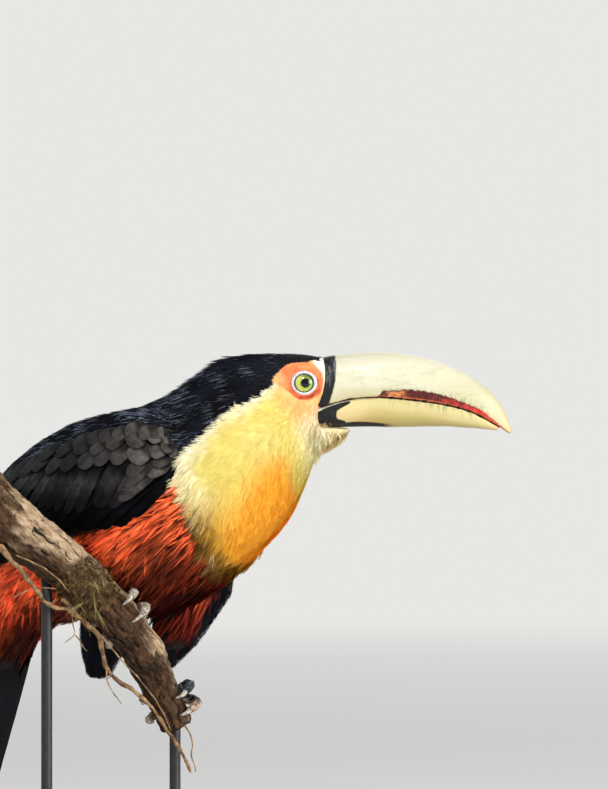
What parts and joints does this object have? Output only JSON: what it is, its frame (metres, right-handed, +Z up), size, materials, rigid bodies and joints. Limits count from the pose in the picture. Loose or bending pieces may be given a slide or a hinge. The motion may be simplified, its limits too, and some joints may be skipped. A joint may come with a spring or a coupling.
{
  "type": "red-breasted toucan, life-size museum model on a perch",
  "caption": "Life-size still model of a red-breasted toucan gripping a sloping cut branch, on a round display base with steel rods.",
  "frame": {"origin": "centre of the underside of the display base", "axes": "+Z up, +X along the bill, the bird's right side towards -Y"},
  "size_m": [0.3206, 0.1764, 0.2879],
  "materials": {
    "plumage_black": "soft black feathers with a faint blue sheen, finely barbed",
    "plumage_yellow": "soft hair-like yellow and orange throat and breast feathers",
    "plumage_red": "long loose red-orange belly feathers with dark bases",
    "bill_horn": "smooth greenish ivory horn, black basal band, dark red streak along the cutting edge",
    "eye_wet": "wet domed eye, yellow-green iris, black pupil",
    "skin_scale": "blue-grey scaly skin of the legs and toes",
    "claw_horn": "dark horn paling to the tips",
    "bark": "weathered, cracked grey-brown bark",
    "stand_steel": "black satin paint on steel rod",
    "stand_wood": "dark stained wood, satin lacquer"
  },
  "bodies": {
    "root": {"head": "plumage_yellow", "neck": "plumage_yellow", "trunk": "plumage_red", "tail": "plumage_black", "bill_upper": "bill_horn", "bill_lower": "bill_horn", "eye_right": "eye_wet", "wing_right": "plumage_black", "thigh_right": "plumage_black", "tarsus_right": "skin_scale", "foot_right": "skin_scale", "claw_right_inner_front": "claw_horn", "claw_right_outer_front": "claw_horn", "claw_right_inner_back": "claw_horn", "claw_right_outer_back": "claw_horn", "eye_left": "eye_wet", "wing_left": "plumage_black", "thigh_left": "plumage_black", "tarsus_left": "skin_scale", "foot_left": "skin_scale", "claw_left_inner_front": "claw_horn", "claw_left_outer_front": "claw_horn", "claw_left_inner_back": "claw_horn", "claw_left_outer_back": "claw_horn", "perch_branch": "bark", "stand_base": "stand_wood", "stand_rod_low": "stand_steel", "stand_rod_high": "stand_steel"}
  },
  "joints": []
}
